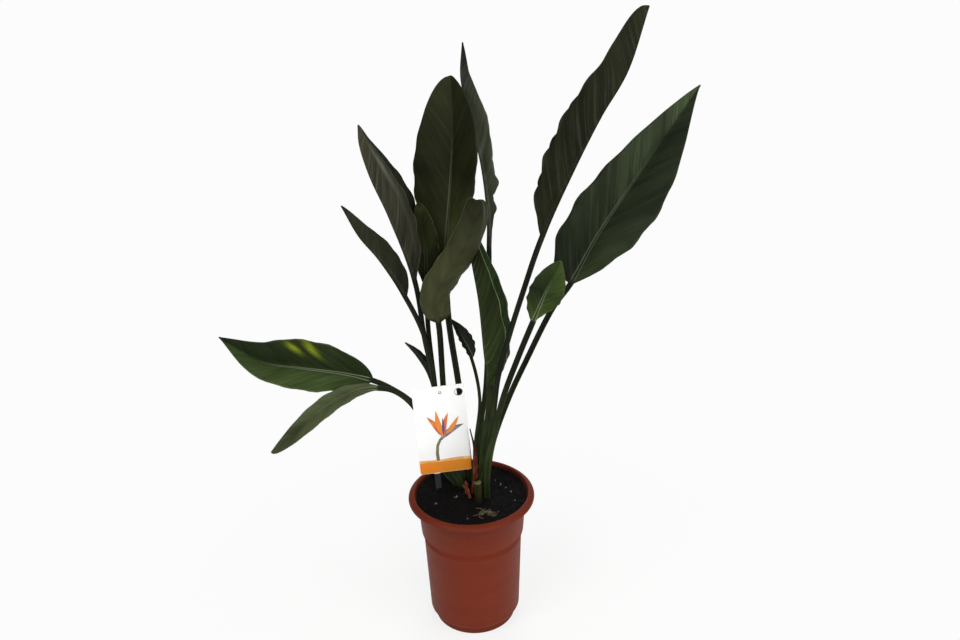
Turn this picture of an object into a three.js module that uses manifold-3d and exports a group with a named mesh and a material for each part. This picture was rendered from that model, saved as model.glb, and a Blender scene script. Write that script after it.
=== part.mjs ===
import * as THREE from "three";
import Module from "manifold-3d";

// Potted bird of paradise: millimetres, +Z up, origin at the centre of the pot's underside.

const wasm = await Module();
wasm.setup();
const { Manifold } = wasm;

const gap = 0.3;

// Pot, as radius and height from the underside up.
const wall = 1.8;
const footRadius = 55.5;
const footHeight = 13;
const bodyLowRadius = 62;
const bodyTopRadius = 66.6;
const bodyTopHeight = 133;
const collarLowRadius = 69.4;
const collarTopRadius = 72.6;
const collarTopHeight = 182;
const rimInnerRadius = 77.6;
const rimRadius = 85;
const rimHeight = 197.5;
const rimSkirt = 8;
const potSides = 48;
const drainHoles = 6;
const drainRadius = 5;
const drainRing = 34;

// Soil, filled into the flare of the rim and a little hollow in the middle.
const soilRadius = 74;
const soilEdge = 191.5;
const soilCrown = 186.5;
const holeFloor = 173.7;
const holeSides = 16;

// Leaves: one loft each, from a foot in the soil to the tip.
const stalkFloor = 174;
const stalkUpright = 15;
const bladeThickness = 0.9;
const tipHalf = 0.9;

// Label: a card with its own stake.
const cardWidth = 70;
const cardHeight = 130;
const cardThickness = 0.8;
const cardCorner = 2;
const stakeWidth = 8;
const stakeLength = 37;
const stakeOffset = -12.5;
const cardFoot = [-33.5, 26, 212];
const cardYaw = 5.5;
const cardLean = 2.6;
const cardBack = 2;
const cardHoles = [[26.8, 119, 4.9], [2, 121, 1.5]];

const colours = {
  pot: "#7a3a2c",
  soil: "#191614",
  leaf: "#2b3022",
  pale: "#4a4d38",
  fresh: "#36432a",
  stub: "#50552f",
  husk: "#6b4436",
  label: "#efefec",
};

const materials = {};
for (const [name, colour] of Object.entries(colours)) {
  materials[name] = new THREE.MeshStandardMaterial({ name, color: colour, roughness: 0.6 });
}

const group = new THREE.Group();

function addMesh(name, geometry, material) {
  const mesh = new THREE.Mesh(geometry, materials[material]);
  mesh.name = name;
  group.add(mesh);
}

function smooth(value) {
  const t = Math.min(1, Math.max(0, value));
  return t * t * (3 - 2 * t);
}

function mix(a, b, t) {
  return a + (b - a) * t;
}

function radians(degrees) {
  return (degrees * Math.PI) / 180;
}

// A closed profile of [radius, height] turned round +Z.
function turned(profile, sides) {
  const section = new wasm.CrossSection([profile]);
  return Manifold.revolve(section, sides);
}

function toGeometry(solid) {
  const made = solid.getMesh();
  const geometry = new THREE.BufferGeometry();
  geometry.setAttribute("position", new THREE.BufferAttribute(new Float32Array(made.vertProperties), 3));
  geometry.setIndex([...made.triVerts]);
  geometry.computeVertexNormals();
  return geometry;
}

function potSolid() {
  const inset = wall + 0.1;
  const profile = [
    [0, 0],
    [footRadius - 1.5, 0],
    [footRadius, 1.5],
    [footRadius, footHeight - 2],
    [bodyLowRadius - 2.5, footHeight],
    [bodyLowRadius, footHeight + 4],
    [bodyTopRadius, bodyTopHeight],
    [collarLowRadius, bodyTopHeight + 7],
    [collarTopRadius, collarTopHeight],
    [rimInnerRadius + 0.4, rimHeight - 4],
    [rimRadius - 2.6, rimHeight - 5.6],
    [rimRadius - 1.9, rimHeight - rimSkirt],
    [rimRadius - 0.3, rimHeight - rimSkirt],
    [rimRadius, rimHeight - 6],
    [rimRadius - 0.7, rimHeight - 4],
    [rimRadius - 3, rimHeight - 2],
    [rimInnerRadius + 1.5, rimHeight - 0.3],
    [rimInnerRadius, rimHeight],
    [rimInnerRadius - 1, rimHeight - 0.8],
    [collarTopRadius, collarTopHeight + 5],
    [collarTopRadius - wall, collarTopHeight - 4],
    [collarLowRadius - inset, bodyTopHeight + 8],
    [bodyTopRadius - inset, bodyTopHeight + 1],
    [bodyLowRadius - inset, footHeight + 5],
    [bodyLowRadius - inset - 3, footHeight + 1.9],
    [footRadius - wall, footHeight],
    [footRadius - wall, 2.4],
    [0, 2.4],
  ];
  let solid = turned(profile, potSides);
  for (let i = 0; i < drainHoles; i += 1) {
    const angle = radians(30 + (360 / drainHoles) * i);
    const hole = Manifold.cylinder(8, drainRadius, drainRadius, 20, true);
    solid = solid.subtract(hole.translate([drainRing * Math.cos(angle), drainRing * Math.sin(angle), 1]));
  }
  return solid;
}

function soilSolid(holes) {
  const inset = wall + 0.1 + gap;
  const profile = [
    [0, 2.4 + gap],
    [footRadius - wall - gap, 2.4 + gap],
    [footRadius - wall - gap, footHeight + 0.4],
    [bodyLowRadius - inset - 3, footHeight + 2.3],
    [bodyLowRadius - inset, footHeight + 5.3],
    [bodyTopRadius - inset, bodyTopHeight + 1.3],
    [collarLowRadius - inset, bodyTopHeight + 8.3],
    [collarTopRadius - wall - gap, collarTopHeight - 3.7],
    [collarTopRadius - gap, collarTopHeight + 5.3],
    [soilRadius, soilEdge],
    [soilRadius - 5, soilEdge - 1.8],
    [56, soilCrown + 0.8],
    [34, soilCrown - 0.2],
    [0, soilCrown],
  ];
  let solid = turned(profile, potSides);
  for (const hole of holes) {
    solid = solid.subtract(hole);
  }
  return solid;
}

// A plain round hole that clears the foot's section all round.
function footHole(foot) {
  const ring = [...foot.top, ...foot.below];
  const centre = new THREE.Box3().setFromPoints(ring).getCenter(new THREE.Vector3());
  const reach = Math.max(...ring.map((point) => point.distanceTo(centre)));
  const radius = (reach + gap) / Math.cos(Math.PI / holeSides) + 0.25;
  return Manifold.cylinder(20, radius, radius, holeSides).translate([centre.x, centre.y, holeFloor]);
}

// A value given once holds for both halves of the blade; a pair is left and right.
function halves(value) {
  return Array.isArray(value) ? value : [value, value];
}

// The blade's outline: half width as a share of the widest, from base to tip.
function outline(along, broadest, fullness) {
  const power = Math.log(0.5) / Math.log(broadest);
  return Math.pow(Math.sin(Math.PI * Math.pow(Math.min(along, 0.9999), power)), fullness);
}

// Where a point of one half lies across the blade: out sideways and up from the midrib.
function across(distance, width, fold, bow) {
  const share = distance / width;
  const start = fold + bow / 2;
  const angle = start - bow * share;
  return {
    angle,
    out: (width * (Math.sin(start) - Math.sin(angle))) / bow,
    rise: (width * (Math.cos(angle) - Math.cos(start))) / bow,
  };
}

function stations(leaf, spine) {
  const { stalkStations, bladeStations } = leaf;
  const upright = stalkUpright / (spine.curve.getLength() * spine.bladeStart);
  const list = [-1];
  for (let i = 0; i < stalkStations; i += 1) {
    list.push((1 - upright) * (i / stalkStations - 1));
  }
  if (!leaf.rib.length) {
    list.push(-0.0001);
    return list;
  }
  for (let i = 0; i <= bladeStations; i += 1) {
    const t = i / bladeStations;
    list.push(t * (0.72 + 0.28 * t));
  }
  return list;
}

function leafSpine(leaf) {
  const [x, y] = leaf.stalk[0];
  const low = [
    [x, y, stalkFloor],
    [x, y, stalkFloor + 9],
    [x, y, stalkFloor + 17],
  ];
  const stalk = [...low, ...leaf.stalk.slice(1)];
  const points = [...stalk, ...leaf.rib].map((p) => new THREE.Vector3(...p));
  const curve = new THREE.CatmullRomCurve3(points, false, "centripetal");
  const parts = 40 * (points.length - 1);
  curve.arcLengthDivisions = parts;
  const lengths = curve.getLengths();
  const bladeStart = leaf.rib.length ? lengths[40 * stalk.length] / lengths[parts] : 1;
  return { curve, bladeStart };
}

// One section: seven points over the top and seven below, from the left margin to the right.
function section(leaf, spine, along) {
  const { curve, bladeStart } = spine;
  const onBlade = along >= 0;
  const at = onBlade ? mix(bladeStart, 1, along) : bladeStart * (1 + along);
  const u = Math.max(0, along);
  const centre = curve.getPointAt(at);
  const tangent = curve.getTangentAt(at);
  const face = new THREE.Vector3(...leaf.faces[0]).lerp(new THREE.Vector3(...leaf.faces[1]), u);
  const up = face.addScaledVector(tangent, -face.dot(tangent)).normalize();
  const right = new THREE.Vector3().crossVectors(tangent, up);

  const [footHalf, topHalf] = leaf.stalkHalf;
  const low = smooth((-along - 0.55) / 0.45);
  const rib = onBlade ? mix(topHalf, tipHalf, Math.pow(u, 0.6)) : mix(topHalf, footHalf, low);
  const depth = onBlade ? 0.3 + (leaf.stalkDepth - 0.3) * Math.pow(1 - u, 1.8) : leaf.stalkDepth;
  const widths = halves(leaf.halfWidth).map((halfWidth, half) => {
    const broadest = halves(leaf.broadest)[half];
    const fullness = halves(leaf.fullness)[half] * (u > broadest ? halves(leaf.tipShare)[half] : 1);
    const shape = onBlade ? outline(u, broadest, fullness) : 0;
    return Math.hypot(rib, halfWidth * shape);
  });
  const grown = smooth(u / 0.1);
  const fold = radians(mix(leaf.stalkFold, mix(leaf.fold[0], leaf.fold[1], u), smooth(u / 0.14)));
  const bow = radians(mix(4, leaf.bow, grown));

  const top = [];
  const below = [];
  for (const column of [-3, -2, -1, 0, 1, 2, 3]) {
    const side = Math.sign(column);
    const half = side < 0 ? 0 : 1;
    const wide = widths[half];
    const widest = halves(leaf.halfWidth)[half];
    const ruffle = halves(leaf.wave)[half] * (wide / widest) * Math.pow(1 - u, 1.2);
    const turn = 2 * Math.PI * leaf.waves * u + leaf.phase + (side < 0 ? 0 : 1.9);
    const swell = 1 + 0.8 * (ruffle / widest) * Math.sin(turn + 1.2) * grown;
    const steps = [0, rib * mix(0.6, 1, grown), mix(rib * 0.88, (rib + wide) / 2, grown), wide * swell];
    const distance = steps[Math.abs(column)];
    const share = distance / wide;
    const place = across(Math.max(distance, 1e-4), wide, fold, bow);
    const lift = side === 0 ? 0 : ruffle * Math.sin(turn) * share * share * grown;
    const normalOut = -Math.sin(place.angle) * side;
    const normalUp = side === 0 ? 1 : Math.cos(place.angle);
    const out = place.out * side + normalOut * lift;
    const rise = place.rise + normalUp * lift;
    const bulge = Math.sqrt(Math.max(0, 1 - Math.pow(distance / (rib * 1.02), 2)));
    const thick = bladeThickness + depth * bulge;
    const point = centre.clone().addScaledVector(right, out).addScaledVector(up, rise);
    const under = point.clone();
    under.addScaledVector(right, -(side === 0 ? 0 : normalOut) * thick);
    under.addScaledVector(up, -normalUp * thick);
    top.push(point);
    below.push(under);
  }
  return { top, below };
}

// Joins the sections into one closed body, both faces split along the same diagonals.
function loft(sections) {
  const points = [];
  const faces = [];
  const wideCount = sections[0].top.length;
  const count = sections.length;
  for (const { top, below } of sections) {
    points.push(...top, ...below);
  }
  const topAt = (i, j) => i * wideCount * 2 + j;
  const belowAt = (i, j) => i * wideCount * 2 + wideCount + j;
  const quad = (a, b, c, d) => faces.push(a, b, c, a, c, d);
  for (let i = 0; i < count - 1; i += 1) {
    for (let j = 0; j < wideCount - 1; j += 1) {
      quad(topAt(i, j), topAt(i, j + 1), topAt(i + 1, j + 1), topAt(i + 1, j));
      faces.push(belowAt(i, j), belowAt(i + 1, j + 1), belowAt(i, j + 1));
      faces.push(belowAt(i, j), belowAt(i + 1, j), belowAt(i + 1, j + 1));
    }
    quad(belowAt(i, 0), topAt(i, 0), topAt(i + 1, 0), belowAt(i + 1, 0));
    const last = wideCount - 1;
    quad(topAt(i, last), belowAt(i, last), belowAt(i + 1, last), topAt(i + 1, last));
  }
  for (let j = 0; j < wideCount - 1; j += 1) {
    quad(belowAt(0, j), belowAt(0, j + 1), topAt(0, j + 1), topAt(0, j));
    const end = count - 1;
    quad(topAt(end, j), topAt(end, j + 1), belowAt(end, j + 1), belowAt(end, j));
  }
  const geometry = new THREE.BufferGeometry().setFromPoints(points);
  geometry.setIndex(faces);
  geometry.computeVertexNormals();
  return geometry;
}

// The card with its stake, standing in local millimetres: bottom edge centred on the origin.
function cardGeometry() {
  const half = cardWidth / 2;
  const left = stakeOffset - stakeWidth / 2;
  const right = stakeOffset + stakeWidth / 2;
  const shape = new THREE.Shape();
  shape.moveTo(left, 0);
  shape.lineTo(left, 6 - stakeLength);
  shape.lineTo(stakeOffset - 1, -stakeLength);
  shape.lineTo(stakeOffset + 1, -stakeLength);
  shape.lineTo(right, 6 - stakeLength);
  shape.lineTo(right, 0);
  shape.lineTo(half - cardCorner, 0);
  shape.absarc(half - cardCorner, cardCorner, cardCorner, -Math.PI / 2, 0);
  shape.absarc(half - cardCorner, cardHeight - cardCorner, cardCorner, 0, Math.PI / 2);
  shape.absarc(cardCorner - half, cardHeight - cardCorner, cardCorner, Math.PI / 2, Math.PI);
  shape.absarc(cardCorner - half, cardCorner, cardCorner, Math.PI, Math.PI * 1.5);
  for (const [x, y, radius] of cardHoles) {
    shape.holes.push(new THREE.Path().absarc(x, y, radius, 0, Math.PI * 2, true));
  }
  const options = { depth: cardThickness, bevelEnabled: false, curveSegments: 6 };
  return new THREE.ExtrudeGeometry(shape, options).translate(0, 0, -cardThickness / 2);
}

function cardPlace() {
  const turn = new THREE.Matrix4().makeRotationZ(radians(cardYaw));
  turn.multiply(new THREE.Matrix4().makeRotationX(radians(-cardBack)));
  turn.multiply(new THREE.Matrix4().makeRotationY(radians(-cardLean)));
  turn.multiply(new THREE.Matrix4().makeRotationX(Math.PI / 2));
  return turn.setPosition(...cardFoot);
}

function cardSlot() {
  const height = 40;
  const slot = Manifold.cube([stakeWidth + 2 * gap, height, cardThickness + 2 * gap], true);
  const low = slot.translate([stakeOffset, height / 2 - stakeLength - gap, 0]);
  return low.transform(cardPlace().elements);
}

const leafDefaults = {
  broadest: 0.42,
  fullness: 0.8,
  tipShare: 1,
  halfWidth: 10,
  fold: [30, 30],
  bow: 18,
  stalkHalf: [4, 3.1],
  stalkDepth: 4.4,
  stalkFold: 25,
  stalkStations: 7,
  bladeStations: 20,
  wave: 3,
  waves: 6,
  phase: 0,
  material: "leaf",
};

// Points in millimetres; faces say which way the upper side looks at the base and at the tip.
const leaves = {
  leaf_tall_right: {
    stalk: [[10, 5], [23.5, 2.3, 262], [32, -1.8, 325], [38.2, -7.4, 374], [53, -16, 436], [70, -20, 494]],
    rib: [[94, -24, 568], [131, -27, 650], [160, -26, 706], [189, -20, 753], [214, 0, 820]],
    faces: [[-0.9, 0.24, 0.36], [-0.9, 0.24, 0.36]],
    fold: [70, 74],
    halfWidth: 37,
    broadest: 0.43,
    fullness: 0.72,
    tipShare: 0.6,
    wave: 4.5,
    waves: 6,
  },
  leaf_broad_right: {
    stalk: [[20, 9], [24, 8.5, 230], [31.6, 8.5, 270], [54, 11, 334], [76, 14, 383], [112, 18, 457]],
    rib: [[133, 20, 486], [166, 26, 546], [222, 42, 626], [294, 80, 716]],
    faces: [[-0.12, -0.87, 0.47], [0, -0.9, 0.42]],
    fold: [28, 20],
    halfWidth: [48, 52],
    broadest: [0.27, 0.4],
    fullness: [0.8, 1.25],
    tipShare: [1, 0.92],
    wave: 3.5,
  },
  leaf_small_right: {
    stalk: [[21, -3], [23, -6, 240], [30.5, -9, 279], [44.5, -15, 344], [65, -22, 407]],
    rib: [[83, -30, 458], [98, -42, 502], [114, -62, 548]],
    faces: [[-0.05, -0.9, 0.42], [-0.05, -0.9, 0.42]],
    fold: [24, 20],
    halfWidth: [21, 23],
    broadest: [0.48, 0.55],
    fullness: [0.8, 1],
    tipShare: [0.7, 0.85],
    wave: 2,
    bladeStations: 16,
    material: "fresh",
  },
  leaf_centre_folded: {
    stalk: [[14.3, 17.4], [22.2, 16, 267], [29, 16, 312]],
    rib: [[31, 17, 350], [26, 19, 400], [19.5, 23, 467], [11, 31, 520], [6, 40, 572]],
    faces: [[0.97, -0.16, 0.2], [0.97, -0.16, 0.2]],
    fold: [54, 54],
    halfWidth: 38,
    broadest: 0.36,
    stalkHalf: [4, 6.2],
    stalkDepth: 5.5,
    wave: 2,
  },
  leaf_tall_centre: {
    stalk: [[-1, 37], [-6.5, 38.5, 270], [-13, 44.5, 339], [-23, 56, 433]],
    rib: [[-23, 74, 500], [-12, 86, 612], [-7, 96, 673], [-8, 110, 731]],
    faces: [[-0.5, -0.78, 0.36], [-0.5, -0.78, 0.36]],
    fold: [22, 22],
    halfWidth: [49, 53],
    broadest: [0.52, 0.56],
    fullness: 0.5,
    tipShare: [1, 1.4],
    stalkHalf: [4, 3.7],
    wave: 2.2,
  },
  leaf_front_pale: {
    stalk: [[-12, 37], [-29, 47, 233], [-33, 48, 333]],
    rib: [[-35, 42, 430], [-40, 36, 461], [-27, 28, 492], [-8, 14, 524], [5, 1, 554], [14, -10, 580], [19, -22, 612]],
    faces: [[-0.05, 1, 0.2], [0.1, 1, 0.2]],
    fold: [32, 30],
    halfWidth: [26, 22],
    broadest: 0.32,
    fullness: [0.32, 0.26],
    tipShare: 0.8,
    bow: -56,
    wave: 1.2,
    material: "pale",
  },
  leaf_left_folded: {
    stalk: [[-17, 48], [-44, 57, 244], [-43, 58, 328], [-53, 58, 397]],
    rib: [[-62, 58, 482], [-90, 66, 565], [-113, 76, 618], [-124, 88, 655], [-124.5, 94, 677]],
    faces: [[0.9, -0.07, 0.44], [0.9, -0.07, 0.44]],
    fold: [61, 61],
    halfWidth: [41, 38],
    broadest: 0.5,
    stalkHalf: [4, 2.7],
    wave: 2.2,
  },
  leaf_left_narrow: {
    stalk: [[-26, 42], [-45, 47, 250], [-42.5, 47, 334], [-52.5, 46, 408]],
    rib: [[-74.5, 42, 468], [-103, 34, 521], [-125.5, 22, 557], [-142, 8, 600]],
    faces: [[0.82, 0.24, 0.52], [0.82, 0.24, 0.52]],
    fold: [72, 74],
    halfWidth: 21.5,
    broadest: 0.4,
    stalkHalf: [4, 2.7],
    wave: 0.8,
    bladeStations: 18,
  },
  leaf_dark_narrow: {
    stalk: [[-6, 49], [-40.5, 67, 238], [-45, 70, 322], [-50, 69.5, 406]],
    rib: [[-49.5, 66, 471.5], [-48, 64, 526.5], [-54, 67, 583.5]],
    faces: [[0.1, -0.9, 0.41], [0.1, -0.9, 0.41]],
    fold: [12, 12],
    halfWidth: [14, 17],
    broadest: 0.5,
    fullness: 0.55,
    stalkHalf: [4, 2.5],
    wave: 1.5,
    bladeStations: 14,
  },
  leaf_top_narrow: {
    stalk: [[11, 28], [15, 33, 256], [26, 44, 335], [30, 51, 400], [33, 56, 452]],
    rib: [[35, 62, 517], [35, 68, 563], [28, 80, 625], [14, 96, 684], [5, 108, 728], [8, 124, 768]],
    faces: [[0.99, 0.05, 0.12], [0.99, 0.05, 0.12]],
    fold: [42, 56],
    halfWidth: [25, 22],
    broadest: 0.6,
    fullness: [1.25, 0.9],
    wave: 3,
    waves: 5,
    stalkHalf: [4, 2.8],
  },
  leaf_small_curled: {
    stalk: [[3, 22], [8.3, 25.5, 258], [15.8, 33, 320]],
    rib: [[6.5, 43.5, 375], [-6, 58.5, 399], [-19, 72, 419]],
    faces: [[0.5, -0.6, 0.6], [0.5, -0.6, 0.6]],
    fold: [35, 35],
    halfWidth: 12.5,
    stalkHalf: [2.2, 1.7],
    stalkDepth: 2.4,
    wave: 1.5,
    bladeStations: 14,
  },
  leaf_young_left: {
    stalk: [[-28, 56], [-44, 77, 234], [-45, 82, 295]],
    rib: [[-51, 84, 329], [-67, 88, 357], [-84, 94, 377]],
    faces: [[0.75, -0.2, 0.6], [0.75, -0.2, 0.6]],
    fold: [60, 60],
    halfWidth: 9,
    stalkHalf: [3, 2.2],
    stalkDepth: 3,
    wave: 1,
    bladeStations: 12,
  },
  leaf_low_left: {
    stalk: [[-13, 24], [-25.4, 33, 210], [-44, 35.6, 257], [-74, 41, 311], [-104, 45, 334]],
    rib: [[-127, 48, 344.5], [-168, 52, 354], [-224, 57, 361.5], [-274, 65, 368], [-333, 85, 397.5]],
    faces: [[0, -0.83, 0.56], [0, -0.83, 0.56]],
    fold: [38, 36],
    halfWidth: [39, 44],
    broadest: [0.38, 0.42],
    fullness: [1, 0.8],
    tipShare: [1, 1.25],
    wave: 2,
  },
  leaf_low_drooping: {
    stalk: [[-22, 30], [-35, 32, 207], [-52, 28.5, 265], [-76, 29, 318], [-98, 30.5, 337]],
    rib: [[-117, 27, 343.5], [-140, 16, 347], [-176, -10, 343], [-250, -50, 297]],
    faces: [[-0.1, -0.85, 0.5], [-0.1, -0.85, 0.5]],
    fold: [42, 42],
    halfWidth: [20, 15],
    broadest: [0.6, 0.45],
    fullness: [0.6, 0.8],
    tipShare: [0.7, 1],
    wave: 1.5,
    bladeStations: 18,
  },
};

// The cut stump, the dry sheath and two old husks round the crown.
const remnants = {
  cut_stub: {
    stalk: [[9, -7], [9, -7, 200], [8, -7, 217]],
    rib: [],
    faces: [[-0.3, 0.95, 0], [-0.3, 0.95, 0]],
    stalkHalf: [6.2, 4.2],
    stalkDepth: 7,
    stalkStations: 6,
    material: "stub",
  },
  dry_sheath: {
    stalk: [[2, 13]],
    rib: [[3, 13, 196], [5, 14, 227], [5, 16, 258], [1, 18, 283]],
    faces: [[0.5, 0.85, 0], [0.5, 0.85, 0]],
    fold: [44, 40],
    bow: 50,
    broadest: 0.3,
    fullness: 1,
    halfWidth: 5,
    stalkHalf: [3, 2.6],
    stalkDepth: 1.2,
    stalkStations: 3,
    bladeStations: 12,
    wave: 0.6,
    material: "husk",
  },
  husk_left: {
    stalk: [[-3, 0]],
    rib: [[-4, 0.4, 195], [-7, 2, 199], [-12, 4, 204]],
    faces: [[0.7, 0.7, 0.3], [0.7, 0.7, 0.3]],
    fold: [40, 30],
    bow: 40,
    halfWidth: 3.4,
    stalkHalf: [2.8, 2.6],
    stalkDepth: 1.2,
    stalkStations: 3,
    bladeStations: 8,
    wave: 0.3,
    material: "husk",
  },
  husk_back: {
    stalk: [[-7, 11]],
    rib: [[-7.2, 11, 195], [-7.5, 11, 200], [-7, 12, 206]],
    faces: [[0.6, 0.8, 0], [0.6, 0.8, 0]],
    fold: [40, 30],
    bow: 40,
    halfWidth: 3.2,
    stalkHalf: [2.6, 2.4],
    stalkDepth: 1.2,
    stalkStations: 3,
    bladeStations: 8,
    wave: 0.3,
    material: "husk",
  },
};

const holes = [cardSlot()];
for (const [name, given] of Object.entries({ ...leaves, ...remnants })) {
  const leaf = { ...leafDefaults, ...given };
  const spine = leafSpine(leaf);
  const sections = stations(leaf, spine).map((along) => section(leaf, spine, along));
  addMesh(name, loft(sections), leaf.material);
  holes.push(footHole(sections[0]));
}

addMesh("pot", toGeometry(potSolid()), "pot");
addMesh("soil", toGeometry(soilSolid(holes)), "soil");
addMesh("label", cardGeometry().applyMatrix4(cardPlace()), "label");

export default group;
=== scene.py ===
import math
import random

import bmesh
import bpy
import numpy as np
from mathutils import Matrix, Vector, noise


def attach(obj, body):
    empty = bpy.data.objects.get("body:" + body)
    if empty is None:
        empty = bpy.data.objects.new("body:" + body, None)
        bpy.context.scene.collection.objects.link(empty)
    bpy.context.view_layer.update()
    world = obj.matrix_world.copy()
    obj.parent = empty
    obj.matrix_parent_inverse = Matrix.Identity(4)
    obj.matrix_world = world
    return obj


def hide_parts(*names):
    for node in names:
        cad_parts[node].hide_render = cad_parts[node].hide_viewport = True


# Potted bird of paradise. Shapes are in millimetres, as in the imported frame, and become metres in the meshes.

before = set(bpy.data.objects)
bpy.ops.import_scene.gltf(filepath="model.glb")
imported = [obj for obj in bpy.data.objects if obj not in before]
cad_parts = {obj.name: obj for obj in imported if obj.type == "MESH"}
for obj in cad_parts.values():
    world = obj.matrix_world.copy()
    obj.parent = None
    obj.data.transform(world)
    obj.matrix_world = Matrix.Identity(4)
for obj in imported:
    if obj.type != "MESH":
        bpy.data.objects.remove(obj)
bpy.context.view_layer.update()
mm = 0.001
print("frame:", len(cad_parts), "nodes")

# Helpers for pieces.


def linked(name, data):
    piece = bpy.data.objects.new(name, data)
    bpy.context.scene.collection.objects.link(piece)
    return piece


# A piece from points in millimetres; with a material it is smooth.
def meshPiece(name, points, edges=(), faces=(), material=None):
    mesh = bpy.data.meshes.new(name)
    mesh.from_pydata((np.array(points, float) * mm).tolist(), edges, faces)
    if material:
        mesh.materials.append(material)
        mesh.shade_smooth()
    return linked(name, mesh)


def bmeshPiece(name, made):
    mesh = bpy.data.meshes.new(name)
    made.to_mesh(mesh)
    made.free()
    return linked(name, mesh)


def finish(piece, node=None):
    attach(piece, "root")
    if node:
        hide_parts(node)
    return piece


# Camera, at the photograph's angle.

cameraView = {"place": (0.0188, -1.137, 0.959), "down": 24.15, "roll": 1.75, "lens": 37.5}


def makeCamera(view):
    data = bpy.data.cameras.new("camera")
    data.lens = view["lens"]
    data.sensor_width = 36
    data.clip_end = 30
    camera = linked("camera", data)
    tilt = Matrix.Rotation(math.radians(90 - view["down"]), 4, "X")
    roll = Matrix.Rotation(math.radians(-view["roll"]), 4, "Z")
    camera.matrix_world = Matrix.Translation(view["place"]) @ tilt @ roll
    bpy.context.scene.camera = camera


makeCamera(cameraView)
print("camera placed")


# Adds nodes to one tree. A value for a socket is a number, a colour or another node's output.
class Net:
    def __init__(self, tree):
        self.tree = tree

    def feed(self, socket, value):
        if isinstance(value, bpy.types.NodeSocket):
            self.tree.links.new(value, socket)
        elif value is not None:
            socket.default_value = value

    def node(self, kind, inputs=None, **settings):
        node = self.tree.nodes.new(kind)
        for key, value in settings.items():
            setattr(node, key, value)
        for key, value in (inputs or {}).items():
            self.feed(node.inputs[key], value)
        return node

    def geometry(self, kind, **inputs):
        inputs = {key.replace("_", " "): value for key, value in inputs.items()}
        return self.node("GeometryNode" + kind, inputs).outputs[0]

    def maths(self, operation, *values, clamp=False):
        inputs = dict(enumerate(values))
        return self.node("ShaderNodeMath", inputs, operation=operation, use_clamp=clamp).outputs[0]

    def times(self, value, *others):
        for other in others:
            value = self.maths("MULTIPLY", value, other)
        return value

    def timesPlus(self, a, b, c):
        return self.maths("MULTIPLY_ADD", a, b, c)

    def minus(self, a, b):
        return self.maths("SUBTRACT", a, b)

    def fromAxis(self, x, y):
        return self.maths("SQRT", self.timesPlus(x, x, self.times(y, y)))

    # The value, its low and high limit, and the results there if they aren't 0 and 1.
    def remap(self, *values):
        return self.node("ShaderNodeMapRange", dict(enumerate(values)), clamp=True).outputs[0]

    def noise(self, vector, scale, detail=3, rough=0.55):
        inputs = {"Vector": vector, "Scale": scale, "Detail": detail, "Roughness": rough}
        return self.node("ShaderNodeTexNoise", inputs).outputs["Fac"]

    def blend(self, a, b, mask):
        return self.node("ShaderNodeMix", {0: mask, 6: a, 7: b}, data_type="RGBA").outputs[2]

    def scaled(self, colour, amount):
        return self.node("ShaderNodeVectorMath", {0: colour, "Scale": amount}, operation="SCALE").outputs[0]

    def split(self, vector):
        return self.node("ShaderNodeSeparateXYZ", {0: vector}).outputs

    def join(self, x, y, z):
        return self.node("ShaderNodeCombineXYZ", {0: x, 1: y, 2: z}).outputs[0]

    def uv(self, name):
        return self.node("ShaderNodeUVMap", uv_map=name).outputs[0]

    def place(self):
        return self.node("ShaderNodeTexCoord").outputs["Object"]

    def attribute(self, name, output="Fac"):
        return self.node("ShaderNodeAttribute", attribute_name=name).outputs[output]

    def group(self, tree, **values):
        return self.node("ShaderNodeGroup", values, node_tree=tree).outputs

    def bump(self, height, distance, strength):
        inputs = {"Strength": strength, "Distance": distance, "Height": height}
        return self.node("ShaderNodeBump", inputs).outputs[0]

    def surface(self, base, rough, gloss=None, normal=None, glow=None, glowStrength=None):
        shader = self.tree.nodes["Principled BSDF"].inputs
        self.feed(shader["Base Color"], base)
        self.feed(shader["Roughness"], rough)
        self.feed(shader["Specular IOR Level"], gloss)
        self.feed(shader["Normal"], normal)
        self.feed(shader["Emission Color"], glow)
        self.feed(shader["Emission Strength"], glowStrength)


def linear(hexColour):
    parts = [int(hexColour[i:i + 2], 16) / 255 for i in (1, 3, 5)]
    return tuple(p / 12.92 if p <= 0.04045 else ((p + 0.055) / 1.055) ** 2.4 for p in parts) + (1.0,)


def inks(look):
    return {key: linear(value) for key, value in look.items() if isinstance(value, str)}


def newMaterial(name):
    material = bpy.data.materials.new(name)
    material.use_nodes = True
    return material, Net(material.node_tree)


# A node group. Each input is a kind of socket, or the number that it starts with.
def newTree(kind, name, inputs, outputs):
    tree = bpy.data.node_groups.new(name, kind + "NodeTree")
    for label, given in inputs.items():
        number = {int: "Int", float: "Float"}.get(type(given))
        socketKind = "NodeSocket" + (number or given)
        socket = tree.interface.new_socket(name=label, in_out="INPUT", socket_type=socketKind)
        if number:
            socket.default_value = given
    for label, given in outputs.items():
        tree.interface.new_socket(name=label, in_out="OUTPUT", socket_type="NodeSocket" + given)
    return Net(tree), tree.nodes.new("NodeGroupInput").outputs, tree.nodes.new("NodeGroupOutput").inputs


# Shared effects.


def makeDust():
    inputs = {"Vector": "Vector", "Scale": 60.0, "Amount": 0.3}
    net, given, out = newTree("Shader", "dust", inputs, {"Mask": "Float", "Clouds": "Float"})
    clouds = net.noise(given["Vector"], given["Scale"], 4, 0.6)
    grains = net.noise(given["Vector"], net.times(given["Scale"], 14), 2)
    speck = net.times(net.remap(clouds, 0.45, 0.75), net.remap(grains, 0.5, 0.7))
    net.feed(out["Mask"], net.maths("MULTIPLY", speck, given["Amount"], clamp=True))
    net.feed(out["Clouds"], clouds)
    return net.tree


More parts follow.
